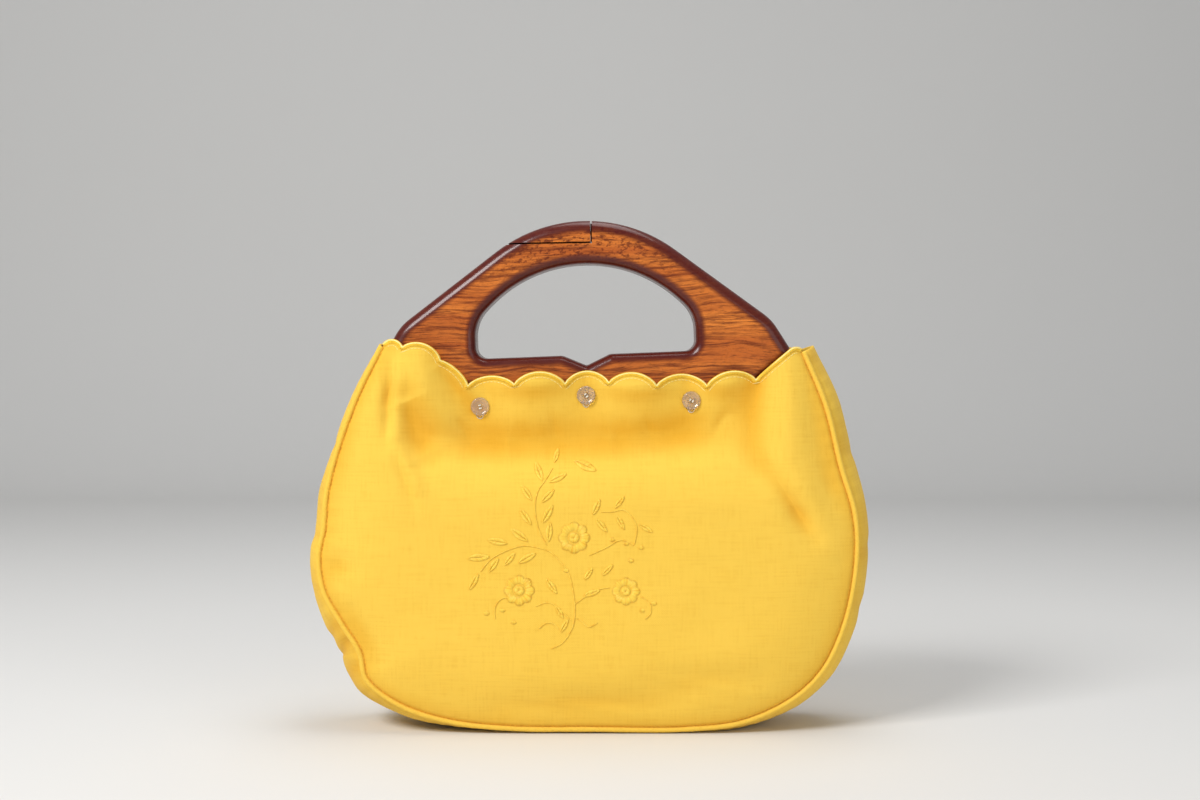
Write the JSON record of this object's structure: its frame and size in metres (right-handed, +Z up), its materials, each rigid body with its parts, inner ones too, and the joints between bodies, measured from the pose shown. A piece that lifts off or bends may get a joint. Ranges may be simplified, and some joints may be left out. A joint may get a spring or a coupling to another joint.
{
  "type": "wooden handle bag",
  "caption": "Handbag with hinged flat wooden handle plates and a gusseted, piped cotton cover with a scalloped, buttoned top edge.",
  "frame": {"origin": "middle of the bag's bounding box, on the floor it stands on", "axes": "+X along the bag to the right seen from its front, -Y out of the embroidered front panel, +Z up"},
  "size_m": [0.3288, 0.0796, 0.2955],
  "materials": {
    "wood": "lacquered red-brown mahogany",
    "cotton": "plain woven golden yellow cotton, matt",
    "piping_cotton": "the same cotton over a thin cord",
    "satin_thread": "bright satin stitch with a soft shine",
    "button_plastic": "clear greyish plastic, polished",
    "white_thread": "white sewing thread",
    "steel": "plain steel pin, hidden in the wood"
  },
  "bodies": {
    "root": {"handle_front": "wood", "handle_back": "wood", "hinge_pin": "steel", "cover_front": "cotton", "cover_back": "cotton", "cover_gusset": "cotton", "piping_front": "piping_cotton", "piping_back": "piping_cotton", "scallop_edging_front": "satin_thread", "scallop_edging_back": "satin_thread", "button_front_left": "button_plastic", "button_front_center": "button_plastic", "button_front_right": "button_plastic", "button_back_left": "button_plastic", "button_back_center": "button_plastic", "button_back_right": "button_plastic", "button_thread_front_left": "white_thread", "button_thread_front_center": "white_thread", "button_thread_front_right": "white_thread", "button_thread_back_left": "white_thread", "button_thread_back_center": "white_thread", "button_thread_back_right": "white_thread"}
  },
  "joints": []
}
